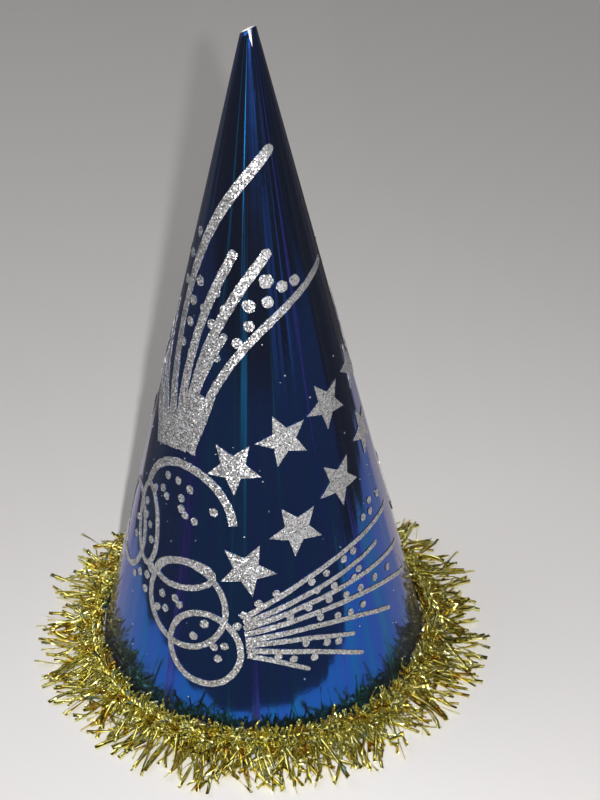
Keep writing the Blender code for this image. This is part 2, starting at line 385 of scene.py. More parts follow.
def make_blue_foil():
    """Deep blue mirror foil: faint colour streaks up the cone, rolling marks and tiny dents."""
    material, tree, shader = new_material(
        "blue mirror foil", (0.010, 0.104, 0.44), roughness=0.14, metallic=1.0
    )
    shader.inputs["Specular Tint"].default_value = (0.98, 0.85, 0.78, 1.0)
    shader.inputs["Coat Weight"].default_value = 0.22
    shader.inputs["Coat Roughness"].default_value = 0.8
    shader.inputs["Sheen Weight"].default_value = 0.03
    shader.inputs["Sheen Roughness"].default_value = 0.6
    sheet = add_node(tree, "ShaderNodeUVMap", uv_map="sheet").outputs["UV"]
    drawn_out = add_node(tree, "ShaderNodeMapping", Vector=sheet, Scale=(46.0, 0.7, 1.0))
    streak = add_node(
        tree, "ShaderNodeTexNoise", Vector=drawn_out.outputs["Vector"],
        Scale=1.0, Detail=3.0, Roughness=0.6,
    ).outputs["Fac"]
    color = add_ramp(
        tree,
        streak,
        (0.31, (0.004, 0.170, 0.40)),
        (0.46, (0.010, 0.104, 0.44)),
        (0.58, (0.013, 0.094, 0.46)),
        (0.70, (0.062, 0.052, 0.44)),
    )
    tree.links.new(color, shader.inputs["Base Color"])

    # A haze all over, and worn duller where a streak is strong
    place = tree.nodes.new("ShaderNodeTexCoord").outputs["Object"]
    haze = add_node(
        tree, "ShaderNodeTexNoise", Vector=place, Scale=60.0, Detail=5.0, Roughness=0.65
    ).outputs["Fac"]
    rough = add_node(tree, "ShaderNodeMapRange", Value=haze, To_Min=0.05, To_Max=0.16)
    depth = add_math(tree, "ABSOLUTE", add_math(tree, "SUBTRACT", streak, 0.5))
    scuff = add_node(
        tree, "ShaderNodeMapRange", Value=depth,
        From_Min=0.09, From_Max=0.19, To_Min=0.0, To_Max=0.30,
    )
    worn = add_math(tree, "ADD", rough.outputs["Result"], scuff.outputs["Result"])
    tree.links.new(worn, shader.inputs["Roughness"])

    dents = add_node(tree, "ShaderNodeTexNoise", Vector=place, Scale=420.0, Detail=2.0)
    both = add_math(tree, "MULTIPLY_ADD", dents.outputs["Fac"], 0.35, streak)
    add_bump(tree, shader, both, strength=0.10, distance=0.4 * MM)
    return material


def make_white_card(tone):
    material, tree, shader = new_material("white card", (0.80, 0.78, 0.74), roughness=0.85)
    fibres = place_uneven_tone(tree, shader, tone, scale=900.0, amount=0.35)
    add_bump(tree, shader, fibres.outputs["Height"], strength=0.25, distance=0.1 * MM)
    return material


def make_silver_glitter():
    """Glitter: silver flakes of about a third of a millimetre, each at its own tilt and tint."""
    material, tree, shader = new_material(
        "silver glitter", (0.72, 0.72, 0.74), roughness=0.40, metallic=0.7
    )
    place = tree.nodes.new("ShaderNodeTexCoord").outputs["Object"]
    flakes = add_node(
        tree, "ShaderNodeTexVoronoi", Vector=place, Scale=2700.0, Randomness=1.0
    ).outputs["Color"]
    parts = add_node(tree, "ShaderNodeSeparateColor", Color=flakes).outputs
    silver = add_ramp(
        tree,
        parts["Red"],
        (0.0, (0.16, 0.16, 0.17)),
        (0.30, (0.42, 0.42, 0.43)),
        (0.72, (0.68, 0.68, 0.69)),
        (1.0, (0.95, 0.95, 0.96)),
    )
    tint = add_ramp(
        tree,
        parts["Green"],
        (0.0, (1.0, 0.80, 0.92)),
        (0.16, (1.0, 1.0, 1.0)),
        (0.76, (1.0, 1.0, 1.0)),
        (0.88, (0.84, 0.92, 1.0)),
        (1.0, (0.88, 1.0, 0.90)),
    )
    color = add_node(
        tree, "ShaderNodeMix", data_type="RGBA", blend_type="MULTIPLY",
        Factor=1.0, A=silver, B=tint,
    )
    tree.links.new(color.outputs["Result"], shader.inputs["Base Color"])
    rough = add_node(tree, "ShaderNodeMapRange", Value=parts["Blue"], To_Min=0.28, To_Max=0.55)
    tree.links.new(rough.outputs["Result"], shader.inputs["Roughness"])

    vectors = "ShaderNodeVectorMath"
    centred = add_math(tree, "SUBTRACT", flakes, (0.5, 0.5, 0.5), kind=vectors)
    tilt = add_node(tree, vectors, operation="SCALE", Vector=centred, Scale=0.85).outputs["Vector"]
    facing = tree.nodes.new("ShaderNodeNewGeometry").outputs["Normal"]
    turned = add_math(tree, "ADD", tilt, facing, kind=vectors)
    tree.links.new(add_math(tree, "NORMALIZE", turned, kind=vectors), shader.inputs["Normal"])
    return material


def make_gold_film(tone):
    """Metallised film: bright gold with patches of lemon and amber, lightly crinkled."""
    material, tree, shader = new_material(
        "gold film", (0.86, 0.745, 0.19), roughness=0.09, metallic=1.0
    )
    place = tree.nodes.new("ShaderNodeTexCoord").outputs["Object"]
    patches = add_node(tree, "ShaderNodeTexNoise", Vector=place, Scale=210.0, Detail=1.0)
    color = add_ramp(
        tree,
        patches.outputs["Fac"],
        (0.33, (0.74, 0.52, 0.08)),
        (0.43, (0.87, 0.78, 0.19)),
        (0.62, (0.93, 0.90, 0.38)),
    )
    uneven = place_uneven_tone(tree, shader, tone, scale=260.0, amount=0.9)
    tree.links.new(color, uneven.inputs["Color"])
    crinkle = add_node(tree, "ShaderNodeTexNoise", Vector=place, Scale=700.0, Detail=2.0)
    add_bump(tree, shader, crinkle.outputs["Fac"], strength=0.22, distance=0.4 * MM)
    return material


def make_core_thread(tone):
    material, tree, shader = new_material("core thread", (0.70, 0.56, 0.24), roughness=0.8)
    fibres = place_uneven_tone(tree, shader, tone, scale=1400.0, amount=0.8)
    shader.inputs["Sheen Weight"].default_value = 0.3
    add_bump(tree, shader, fibres.outputs["Height"], strength=0.6, distance=0.2 * MM)
    return material


def make_hot_melt(tone):
    material, tree, shader = new_material("hot melt", (0.15, 0.105, 0.03), roughness=0.38)
    ripple = place_uneven_tone(tree, shader, tone, scale=300.0, amount=0.4)
    shader.inputs["Subsurface Weight"].default_value = 0.4
    shader.inputs["Subsurface Radius"].default_value = (0.002, 0.0016, 0.001)
    add_bump(tree, shader, ripple.outputs["Height"], strength=0.3, distance=0.4 * MM)
    return material


def make_clear_tape(tone):
    material, tree, shader = new_material("clear tape", (0.84, 0.82, 0.74), roughness=0.28)
    ripple = place_uneven_tone(tree, shader, tone, scale=150.0, amount=0.3)
    add_bump(tree, shader, ripple.outputs["Height"], strength=0.2, distance=0.2 * MM)
    return material


# The foil cone


def make_foil_cone(foil, card):
    """The rolled sheet, level at the brim and aslant at the tip: foil outside, card inside."""
    bm = bmesh.new()
    bmesh.ops.create_grid(bm, x_segments=SHEET_COLUMNS, y_segments=SHEET_ROWS, size=0.5)
    sheet = bm.loops.layers.uv.new("sheet")
    top = (APEX_HEIGHT - TIP_CUT_HEIGHT - TIP_TRIM_SPARE) / math.cos(HALF_ANGLE)
    bottom = SLANT + BRIM_TRIM_SPARE
    for face in bm.faces:
        for loop in face.loops:
            loop[sheet].uv = (loop.vert.co.x + 0.5, loop.vert.co.y + 0.5)
    for vert in bm.verts:
        around = FIRST_AROUND + (vert.co.x + 0.5) * (LAST_AROUND - FIRST_AROUND)
        slant = bottom + (vert.co.y + 0.5) * (top - bottom)
        vert.co = on_foil(around, slant)
    for height, outwards in (
        (CARD_THICKNESS * math.sin(HALF_ANGLE), (0, 0, -1)),
        (TIP_TRIM_HEIGHT, (-TIP_CUT_SLOPE, TIP_TRIM_LEAN, 1)),
    ):
        everything = bm.verts[:] + bm.edges[:] + bm.faces[:]
        bmesh.ops.bisect_plane(
            bm, geom=everything, plane_co=(0, 0, height), plane_no=outwards, clear_outer=True
        )
    cone = piece_from("foil_sheet", bm, foil, card)
    cone.data.shade_smooth()
    shell = cone.modifiers.new("card", "SOLIDIFY")
    shell.thickness = CARD_THICKNESS
    shell.offset = -1.0
    shell.use_even_offset = True
    shell.material_offset = 1
    shell.material_offset_rim = 1
    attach(cone, "root")
    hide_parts("foil_cone")


# The ornament, laid out flat on the unrolled sheet: places, widths and radii are in millimetres,
# with the apex at 0, 0 and the front straight down


class Ornament:
    """Collects flat glitter shapes and wraps each on the foil."""

    def __init__(self, seed):
        self.bm = bmesh.new()
        self.chance = random.Random(seed)
        self.layer = 0

    def around(self, x, y):
        """The angle round the cone of a flat point."""
        return math.atan2(x, -y) / math.sin(HALF_ANGLE)

    def shift(self, x, y, turn):
        """How far round a flat point moves to where the sheet shows it, or None under the lap."""
        flat = self.around(x, y)
        shown = flat + turn
        while shown > LAST_AROUND - GLITTER_END_MARGIN:
            shown -= 2 * math.pi
        return shown - flat if shown > LAP_EDGE_AROUND + GLITTER_EDGE_MARGIN else None

    def wrap(self, verts, shift):
        self.layer += 1
        above = GLITTER_LIFT + GLITTER_LIFT_STEP * self.layer
        for vert in verts:
            x, y = vert.co.xy
            vert.co = on_foil(self.around(x, y) + shift, math.hypot(x, y) * MM, above)

    def stroke(self, points, widths, turn, closed=False):
        """A band of glitter along a line of flat points; it stops where the sheet does."""
        runs = [[]]
        for point, width in zip(points, widths):
            shift = self.shift(*point, turn)
            if runs[-1] and (shift is None or abs(shift - runs[-1][-1][2]) > SEAM_JUMP):
                runs.append([])
            if shift is not None:
                runs[-1].append((Vector(point), width, shift))
        whole = closed and len(runs) == 1
        for run in runs:
            if len(run) > 2:
                self.band(run, whole)
        if not closed:
            self.dot(*points[-1], widths[-1] / 2, turn)

    def ray(self, start, end, bow, first, last, turn, steps):
        """A bowed stroke that tapers from its first width to its last."""
        self.stroke(bent_line(start, end, bow, steps), taper(first, last, steps), turn)

    def band(self, run, whole):
        """The strip of one run of points; a whole ring is welded where its ends meet."""
        final = len(run) - 1
        made = bmesh.ops.create_grid(self.bm, x_segments=final, y_segments=2, size=0.5)
        verts = made["verts"]
        for vert in verts:
            index = round((vert.co.x + 0.5) * final)
            before = run[index - 1 if index else (-2 if whole else 0)][0]
            after = run[index + 1 if index < final else (1 if whole else index)][0]
            along = (after - before).normalized()
            middle, width, _ = run[index]
            rough = 1 + self.chance.uniform(-STROKE_UNEVENNESS, STROKE_UNEVENNESS)
            across = Vector((-along.y, along.x))
            vert.co = (middle + across * (vert.co.y * width * rough)).to_3d()
        self.wrap(verts, run[0][2])
        if whole:
            bmesh.ops.remove_doubles(self.bm, verts=verts, dist=RING_WELD)

    def dot(self, x, y, radius, turn):
        shift = self.shift(x, y, turn)
        if shift is None:
            return
        made = bmesh.ops.create_circle(
            self.bm, cap_ends=True, cap_tris=True, segments=DOT_SIDES, radius=radius
        )
        for vert in made["verts"]:
            vert.co *= 1 + self.chance.uniform(-DOT_UNEVENNESS, DOT_UNEVENNESS)
            vert.co += Vector((x, y, 0))
        self.wrap(made["verts"], shift)

    def star(self, x, y, radius, lean, turn):
        """A plain five-pointed star."""
        shift = self.shift(x, y, turn)
        if shift is None:
            return
        fresh = bmesh.new()
        bmesh.ops.create_circle(fresh, cap_ends=True, cap_tris=True, segments=10, radius=radius)
        for vert in fresh.verts:
            if vert.co.length > 1e-6:
                corner = round(math.atan2(-vert.co.x, vert.co.y) / (math.pi / 5))
                vert.co *= 1.0 if corner % 2 == 0 else STAR_WAIST
        bmesh.ops.rotate(fresh, matrix=Matrix.Rotation(lean, 3, "Z"), verts=fresh.verts)
        bmesh.ops.translate(fresh, vec=(x, y, 0), verts=fresh.verts)
        bmesh.ops.subdivide_edges(fresh, edges=fresh.edges[:], cuts=5, use_grid_fill=True)
        self.wrap(join_into(self.bm, fresh), shift)


def bent_line(start, end, bow, steps):
    """Points of a line that bows to one side by a share of its length."""
    start, end = Vector(start), Vector(end)
    across = Vector((-(end - start).y, (end - start).x)) * bow
    return [
        start.lerp(end, i / steps) + across * math.sin(math.pi * i / steps)
        for i in range(steps + 1)
    ]


def ring_line(centre, across, down, lean, first, last, steps):
    """Points of an oval, or a part of one, between two angles in degrees."""
    points = []
    for i in range(steps + 1):
        angle = math.radians(first + (last - first) * i / steps)
        x, y = across * math.cos(angle), down * math.sin(angle)
        points.append(
            Vector((
                centre[0] + x * math.cos(lean) - y * math.sin(lean),
                centre[1] + x * math.sin(lean) + y * math.cos(lean),
            ))
        )
    return points


def taper(first, last, steps):
    return [first + (last - first) * i / steps for i in range(steps + 1)]


def draw_burst(ornament, turn):
    """A fountain burst: thick rays that spread out of one solid stem."""
    rays = (
        ((-39.0, -140.5), (-47.0, -108.0), 0.05, 2.2, 1.6),
        ((-37.5, -140.0), (-42.0, -100.0), 0.05, 2.6, 1.8),
        ((-35.5, -139.6), (-35.5, -92.0), 0.06, 3.4, 2.0),
        ((-33.0, -139.3), (4.9, -43.2), 0.115, 3.8, 3.3),
        ((-30.5, -139.2), (-6.6, -74.6), 0.058, 3.6, 3.0),
        ((-28.5, -139.3), (3.5, -74.2), 0.058, 3.8, 3.1),
        ((-27.0, -139.5), (-10.3, -100.6), 0.055, 3.2, 2.4),
        ((-25.5, -140.0), (26.4, -78.8), 0.085, 3.0, 2.3),
        ((-24.5, -140.5), (-13.5, -116.0), -0.02, 3.6, 2.4),
    )
    for start, end, bow, first, last in rays:
        ornament.ray(start, end, bow, first, last, turn, steps=44)
    stem = ((-40.0, -42.5), (-36.2, -37.6), (-32.2, -32.0), (-28.2, -25.6), (-24.2, -19.4))
    for low, high in stem:
        ornament.ray((low, -140.6), (high, -122.0), 0.0, 4.6, 3.2, turn, steps=14)
    for x, y, radius in (
        (3.3, -82.7, 2.2), (8.2, -84.8, 1.8), (12.6, -83.4, 1.8), (-2.1, -90.4, 2.1),
        (3.6, -89.3, 1.9), (-2.2, -96.7, 1.8), (-6.0, -102.3, 1.7), (-19.5, -84.0, 1.7),
        (-22.5, -90.5, 1.6), (-17.6, -92.6, 1.7), (-24.0, -97.5, 1.6), (-13.0, -86.5, 1.9),
        (-9.6, -92.0, 1.8), (-14.6, -97.0, 1.6), (-27.5, -104.5, 1.5), (-20.8, -69.0, 1.6),
        (-25.6, -76.0, 1.6), (-28.0, -84.5, 1.5), (-13.2, -107.5, 1.5), (-31.5, -110.5, 1.4),
    ):
        ornament.dot(x, y, radius, turn)


def draw_rings(ornament, turn):
    """A chain of linked rings with confetti in them."""
    hoop = ring_line((-29.0, -165.0), 20.0, 20.0, 0.0, 4, 152, 60)
    ornament.stroke(hoop, [2.9] * len(hoop), turn)
    ovals = (
        ((-46.0, -170.3), 6.2, 14.0, 0.0, 2.1),
        ((-58.5, -173.5), 10.5, 15.0, 0.0, 2.1),
        ((-28.2, -183.6), 11.8, 4.8, 0.10, 2.1),
        ((-27.8, -194.4), 15.3, 15.3, 0.0, 2.1),
        ((-20.8, -209.4), 13.0, 13.0, 0.0, 2.2),
    )
    for centre, across, down, lean, width in ovals:
        oval = ring_line(centre, across, down, lean, 0, 360, 72)
        ornament.stroke(oval, [width] * len(oval), turn, closed=True)
    for x, y, radius in (
        (-34.3, -150.5, 1.4), (-29.3, -151.3, 1.4), (-41.4, -156.6, 1.3), (-37.0, -155.5, 1.4),
        (-35.2, -157.9, 1.4), (-24.3, -153.2, 1.5), (-28.0, -156.9, 1.4), (-28.1, -160.6, 1.5),
        (-26.5, -162.6, 1.4), (-22.8, -164.0, 1.4), (-15.6, -159.5, 1.5), (-47.3, -162.9, 1.4),
        (-47.4, -167.6, 1.4), (-44.4, -170.5, 1.3), (-43.4, -175.5, 1.4), (-54.4, -170.6, 1.3),
        (-54.9, -176.8, 1.3), (-43.0, -185.4, 2.0), (-54.3, -191.1, 1.3), (-50.3, -189.2, 1.4),
        (-45.6, -188.8, 1.5), (-46.6, -194.1, 1.4), (-37.4, -193.0, 1.5), (-31.4, -193.3, 1.5),
        (-39.8, -198.6, 1.4), (-36.0, -198.0, 1.4), (-29.6, -195.1, 1.4), (-20.2, -200.2, 1.6),
        (-24.4, -205.3, 1.5), (-17.0, -208.0, 1.5), (-13.2, -207.4, 1.4), (-15.6, -212.2, 1.4),
        (-8.8, -199.6, 1.5), (-6.4, -195.4, 1.4), (-1.4, -191.0, 1.4),
    ):
        ornament.dot(x, y, radius, turn)


def draw_fan(ornament, turn):
    """A fan of thin rays with confetti between them."""
    rays = (
        ((-6.8, -196.6), (57.4, -169.0), 0.052),
        ((-6.5, -198.4), (45.5, -179.4), 0.020),
        ((-6.5, -200.3), (63.9, -185.2), 0.042),
        ((-6.3, -202.5), (68.9, -197.3), 0.063),
        ((-6.0, -204.7), (50.7, -205.2), 0.060),
        ((-6.0, -206.6), (32.1, -208.2), 0.050),
        ((-5.8, -208.4), (35.8, -216.5), 0.045),
        ((-5.5, -210.3), (14.7, -216.9), 0.035),
    )
    for start, end, bow in rays:
        ornament.ray(start, end, bow, 2.0, 1.5, turn, steps=40)
    for x, y in (
        (4.5, -187.8), (16.4, -185.3), (21.7, -183.2), (18.2, -188.6), (24.7, -188.4),
        (22.6, -193.0), (28.8, -180.1), (33.1, -178.4), (35.4, -185.5), (33.2, -188.1),
        (29.5, -193.1), (35.9, -192.6), (43.6, -191.3), (52.2, -190.8), (36.8, -199.0),
        (31.2, -200.1), (25.9, -199.7), (19.2, -198.6), (15.1, -194.3), (8.8, -196.5),
        (14.0, -207.2), (21.6, -208.4), (26.0, -209.2), (4.6, -210.9), (9.7, -212.4),
        (16.9, -213.0), (39.0, -168.4), (43.4, -167.5), (43.4, -163.7), (50.1, -163.3),
    ):
        ornament.dot(x, y, FAN_DOT_RADIUS, turn)


def draw_stars(ornament, turn):
    """Two slanting rows of stars."""
    rows = (
        ((-8.5, -143.5), (40.0, -116.0), (9.4, 9.0, 8.6, 8.2)),
        ((-5.0, -179.0), (44.5, -139.0), (9.8, 9.4, 9.0, 8.6)),
    )
    for start, end, sizes in rows:
        lean = math.atan2(end[1] - start[1], end[0] - start[0])
        for index, size in enumerate(sizes):
            middle = Vector(start).lerp(Vector(end), index / (len(sizes) - 1))
            wobble = STAR_WOBBLE * (-1) ** index
            ornament.star(middle.x, middle.y, size, lean + wobble, turn)


def scatter_flakes(ornament):
    """Loose flakes that strayed onto the foil round the design, most of them low down."""
    chance = random.Random(FLAKE_SEED)
    for _ in range(LOOSE_FLAKES):
        slant = chance.triangular(80, 238, 215)
        turned = chance.uniform(-math.pi, math.pi) * math.sin(HALF_ANGLE)
        radius = chance.uniform(0.14, 0.30)
        ornament.layer = 0  # each lies straight on the foil
        ornament.dot(slant * math.sin(turned), -slant * math.cos(turned), radius, 0.0)


def raise_on_foil(name, ornament, material, thickness):
    """Gives flat shapes on the foil their thickness, smooth on top with a sharp rim."""
    bm = ornament.bm
    bmesh.ops.recalc_face_normals(bm, faces=bm.faces)
    for face in bm.faces:
        centre = face.calc_center_median()
        if face.normal.dot(Vector((centre.x, centre.y, 0))) < 0:
            face.normal_flip()
    bmesh.ops.solidify(bm, geom=bm.faces[:], thickness=-thickness)
    bmesh.ops.recalc_face_normals(bm, faces=bm.faces)
    piece = piece_from(name, bm, material)
    piece.data.shade_smooth()
    piece.data.set_sharp_from_angle(angle=SHARP_RIM)
    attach(piece, "root")


def make_ornament(glitter):
    """The glitter design, once on the front and once on the back."""
    ornament = Ornament(seed=11)
    for turn in (0.0, math.pi):
        draw_burst(ornament, turn)
        draw_rings(ornament, turn)
        draw_fan(ornament, turn)
        draw_stars(ornament, turn)
    scatter_flakes(ornament)
    raise_on_foil("glitter_ornament", ornament, glitter, GLITTER_THICKNESS)


def make_tip_painted_highlight(card):
    """A white stroke laid in white card on the pinched crease below the tip: a painted highlight
    where the crease catches the light.
    """
    ornament = Ornament(seed=3)
    ornament.ray((0.1, -8.95), (0.75, -13.6), 0.0, 0.95, 0.10, 0.0, steps=10)
    raise_on_foil("tip_painted_highlight", ornament, card, HIGHLIGHT_STROKE_THICKNESS)


# The garland


def strand_habit(chance, sort):
    """How one film strand leaves the binding.

    Gives its rise in degrees, sideways lean, length in millimetres, curl at each step, chance of
    a kink, and width in millimetres.
    """
    if sort == "strip":
        rise = chance.triangular(-42, 10, -16)
        lean = chance.gauss(0, 0.40)
        length = chance.uniform(12, 23.5)
        curl, kinks = chance.gauss(0, 0.13), 0.35
        width = chance.uniform(1.0, 1.55)
    elif sort == "riser":
        rise = chance.uniform(55, 115)
        lean = chance.gauss(0, 0.5)
        length = chance.uniform(4, 10)
        curl, kinks = chance.gauss(0, 0.08), 0.2
        width = chance.uniform(0.5, 0.9)
    elif sort == "lining":
        rise = chance.uniform(95, 225)
        lean = chance.gauss(0, 0.6)
        length = chance.uniform(2.4, 5.0)
        curl, kinks = 0.0, 0.0
        width = chance.uniform(0.8, 1.2)
    else:  # fluff
        rise = chance.triangular(-85, 24, -24)
        length = chance.triangular(3, 11, 5.5) * (0.6 if rise > 5 else 1.0)
        lean = chance.gauss(0, 0.65)
        curl, kinks = chance.gauss(0, 0.28), 0.5
        width = chance.uniform(0.8, 1.3)
    return rise, lean, length, curl, kinks, width


def strand_path(chance, azimuth, habit):
    """The run of one film strand: out of the binding, curling, and kinked at times.

    It stays over the table and clear of the card.
    """
    rise, lean, length, curl, kinks, _ = habit
    outward = Vector((math.cos(azimuth), math.sin(azimuth), 0))
    sideways = Vector((-math.sin(azimuth), math.cos(azimuth), 0))
    upward = Vector((0, 0, 1))
    rise = math.radians(rise)
    heading = outward * math.cos(rise) + upward * math.sin(rise) + sideways * lean
    heading.normalize()
    point = outward * RING_RADIUS + upward * CORE_HEIGHT
    point += heading * (BINDING_RADIUS * chance.uniform(*STRAND_ROOT_SHARES))
    stride = length / STRAND_STEPS * MM
    spin = Vector((chance.gauss(0, 1), chance.gauss(0, 1), chance.gauss(0, 1))).normalized()
    kink_step = chance.choice(KINK_STEPS) if chance.random() < kinks else None
    path = [point.copy()]
    for step in range(STRAND_STEPS):
        kink = chance.choice((-1, 1)) * chance.uniform(*KINK_TURNS) if step == kink_step else 0.0
        heading.rotate(Matrix.Rotation(curl + kink, 3, spin))
        heading.z -= STRAND_DROOP
        heading.normalize()
        point = point + heading * stride
        table = chance.uniform(*TABLE_CLEARANCES) * MM
        if point.z < table:
            point.z = table
            heading.z = abs(heading.z) * TABLE_REBOUND
        wall = foil_reach(math.atan2(point.x, -point.y), point.z) + STRAND_CLEARANCE
        reach = math.hypot(point.x, point.y)
        if reach < wall:
            point.x *= wall / reach
            point.y *= wall / reach
        if reach > RING_RADIUS + STRAND_REACH:
            break
        path.append(point.copy())
    return path


def film_profile():
    """The flat section of a film strand."""
    profile = bpy.data.curves.new("film_section", "CURVE")
    section = profile.splines.new("POLY")
    section.points.add(3)
    for point, (x, y) in zip(section.points, ((-1, -1), (1, -1), (1, 1), (-1, 1))):
        point.co = (x * FILM_HALF_WIDTH, y * FILM_HALF_THICKNESS, 0, 1)
    section.use_cyclic_u = True
    holder = bpy.data.objects.new("film_section", profile)
    bpy.context.scene.collection.objects.link(holder)
    return holder


def make_strands(chance, first, span, profile):
    """The curled strands of one length of the garland, as a mesh."""
    curve = bpy.data.curves.new("strands", "CURVE")
    curve.dimensions = "3D"
    curve.bevel_mode = "OBJECT"
    curve.bevel_object = profile
    curve.use_fill_caps = True
    for strand in range(STRANDS_PER_LENGTH):
        azimuth = first + (strand + chance.random()) / STRANDS_PER_LENGTH * span
        sort = chance.choices(tuple(STRAND_SORTS), weights=tuple(STRAND_SORTS.values()))[0]
        habit = strand_habit(chance, sort)
        path = strand_path(chance, azimuth, habit)
        if len(path) < 3:
            continue
        spline = curve.splines.new("POLY")
        spline.points.add(len(path) - 1)
        tilt, twist = chance.uniform(0, 2 * math.pi), chance.gauss(0, STRAND_TWIST)
        width = habit[-1]
        for step, (point, place) in enumerate(zip(spline.points, path)):
            point.co = (*place, 1.0)
            point.tilt = tilt + twist * step
            point.radius = width
    return curve_to_mesh("strands", curve)


def add_binding(bm, first, last):
    """The wound film round the core: a bent sleeve with slanting ridges."""
    fresh = bmesh.new()
    for share in (SLEEVE_OUTSIDE, SLEEVE_BORE):
        bmesh.ops.create_circle(fresh, segments=SLEEVE_SIDES, radius=BINDING_RADIUS * share)
    bmesh.ops.bridge_loops(fresh, edges=fresh.edges[:])
    upright = Matrix.Rotation(math.pi / 2, 4, "X")
    stand = Matrix.Translation((RING_RADIUS, 0, CORE_HEIGHT)) @ upright
    bmesh.ops.transform(fresh, matrix=Matrix.Rotation(first, 4, "Z") @ stand, verts=fresh.verts)
    bmesh.ops.spin(
        fresh, geom=fresh.verts[:] + fresh.edges[:] + fresh.faces[:], axis=(0, 0, 1),
        cent=(0, 0, 0), angle=last - first, steps=SLEEVE_STEPS,
    )
    for vert in fresh.verts:
        azimuth = math.atan2(vert.co.y, vert.co.x)
        x, y = RING_RADIUS * math.cos(azimuth), RING_RADIUS * math.sin(azimuth)
        middle = Vector((x, y, CORE_HEIGHT))
        arm = vert.co - middle
        if arm.length > BINDING_RADIUS * SLEEVE_MIDDLE:
            round_it = math.atan2(arm.z, math.hypot(vert.co.x, vert.co.y) - RING_RADIUS)
            ridge = math.sin(RIDGES_ROUND_SLEEVE * round_it + RIDGES_ROUND_RING * azimuth)
            vert.co = middle + arm * (1 + RIDGE_SHARE * ridge)
    bmesh.ops.recalc_face_normals(fresh, faces=fresh.faces)
    join_into(bm, fresh)


def make_garland(film):
    """The film fringe, in the same lengths as the solids: a wound binding with curled strands."""
    profile = film_profile()
    span = 2 * math.pi / GARLAND_LENGTHS
    gap = LENGTH_GAP / 2 / RING_RADIUS
    for index in range(GARLAND_LENGTHS):
        first = math.pi / 2 + index * span
        mesh = make_strands(random.Random(FRINGE_SEED + index), first, span, profile)
        bm = bmesh.new()
        bm.from_mesh(mesh)
        bpy.data.meshes.remove(mesh)
        add_binding(bm, first + gap, first + span - gap)
        fringe = piece_from(f"film_fringe_{index + 1:02d}", bm, film)
        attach(fringe, "root")
        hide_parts(f"tinsel_{index + 1:02d}")
    bpy.data.objects.remove(profile)


def make_thread(thread):
    """The garland's core: two plies twisted round each other, laid round the brim."""
    curve = bpy.data.curves.new("plies", "CURVE")
    curve.dimensions = "3D"
    curve.bevel_depth = PLY_RADIUS
    curve.bevel_resolution = 1
    curve.use_fill_caps = True
    gap = CORE_END_GAP / RING_RADIUS
    for ply in range(2):
        spline = curve.splines.new("POLY")
        spline.points.add(PLY_STEPS)
        for step, point in enumerate(spline.points):
            azimuth = math.pi / 2 + gap / 2 + step / PLY_STEPS * (2 * math.pi - gap)
            twist = 2 * math.pi * PLY_TURNS * step / PLY_STEPS + math.pi * ply
            radius = RING_RADIUS + PLY_OFFSET * math.cos(twist)
            height = CORE_HEIGHT + PLY_OFFSET * math.sin(twist)
            point.co = (radius * math.cos(azimuth), radius * math.sin(azimuth), height, 1.0)
    mesh = curve_to_mesh("core_plies", curve)
    mesh.shade_smooth()
    plies = piece_of("core_plies", mesh, thread)
    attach(plies, "root")
    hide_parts("garland_core")


def dress_kept_nodes(glue, tape):
    """The glue dabs and the seam tape keep their solids and get their finish."""
    for name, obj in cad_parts.items():
        if name.startswith("glue_dab") or name == "seam_tape":
            finish = tape if name == "seam_tape" else glue
            if obj.data.materials:
                obj.data.materials[0] = finish
            else:
                obj.data.materials.append(finish)


# The studio


def seen_by_eye_or_mirror(tree):
    """1 for what the camera, a mirror or a clear piece sees, and 0 for the light that is shed."""
    path = tree.nodes.new("ShaderNodeLightPath").outputs
    direct = add_math(tree, "MAXIMUM", path["Is Camera Ray"], path["Is Glossy Ray"])
    return add_math(tree, "MAXIMUM", direct, path["Is Transmission Ray"])


def make_floor():
    """A wide paper floor that runs out into the pale room."""
    bm = bmesh.new()
    bmesh.ops.create_grid(bm, x_segments=1, y_segments=1, size=FLOOR_HALF)
    bmesh.ops.translate(bm, vec=(0, 0, -FLOOR_DROP), verts=bm.verts)
    material, tree, shader = new_material("pale paper", (0.80, 0.785, 0.775), roughness=0.7)
    shader.inputs["Specular IOR Level"].default_value = 0.2
    place = tree.nodes.new("ShaderNodeTexCoord").outputs["Object"]
    away = add_node(tree, "ShaderNodeVectorMath", operation="DISTANCE", Vector=place)
    away.inputs[1].default_value = FLOOR_MIDDLE
    far = add_node(
        tree, "ShaderNodeMapRange", interpolation_type="SMOOTHSTEP",
        Value=away.outputs["Value"], From_Min=FLOOR_FADE_START, From_Max=FLOOR_FADE_END,
    )
    seen_far = add_math(tree, "MULTIPLY", far.outputs["Result"], seen_by_eye_or_mirror(tree))
    glow = add_node(tree, "ShaderNodeEmission", Strength=1.0, Color=(*PALE_ROOM, 1.0))
    surface = mix_shaders(tree, seen_far, shader.outputs["BSDF"], glow.outputs["Emission"])
    tree.links.new(surface, tree.nodes["Material Output"].inputs["Surface"])
    floor = piece_from("paper_floor", bm, material)


def screen_material(name, brightness):
    material = bpy.data.materials.new(name)
    material.use_nodes = True
    tree = material.node_tree
    tree.nodes.clear()
    glow = add_node(tree, "ShaderNodeEmission", Strength=brightness, Color=(0.96, 0.96, 1.0, 1.0))
    add_node(tree, "ShaderNodeOutputMaterial", Surface=glow.outputs["Emission"])
    return material


def curved_screen(radius, first, last, low, high):
    """An upright strip of a cylinder round the hat, between two angles from the front."""
    bm = bmesh.new()
    ends = [bm.verts.new((0, -radius, height)) for height in (low, high)]
    edge = bm.edges.new(ends)
    bmesh.ops.rotate(bm, matrix=Matrix.Rotation(math.radians(first), 3, "Z"), verts=bm.verts)
    bmesh.ops.spin(
        bm, geom=[*ends, edge], axis=(0, 0, 1), cent=(0, 0, 0),
        angle=math.radians(last - first), steps=36,
    )
    return bm


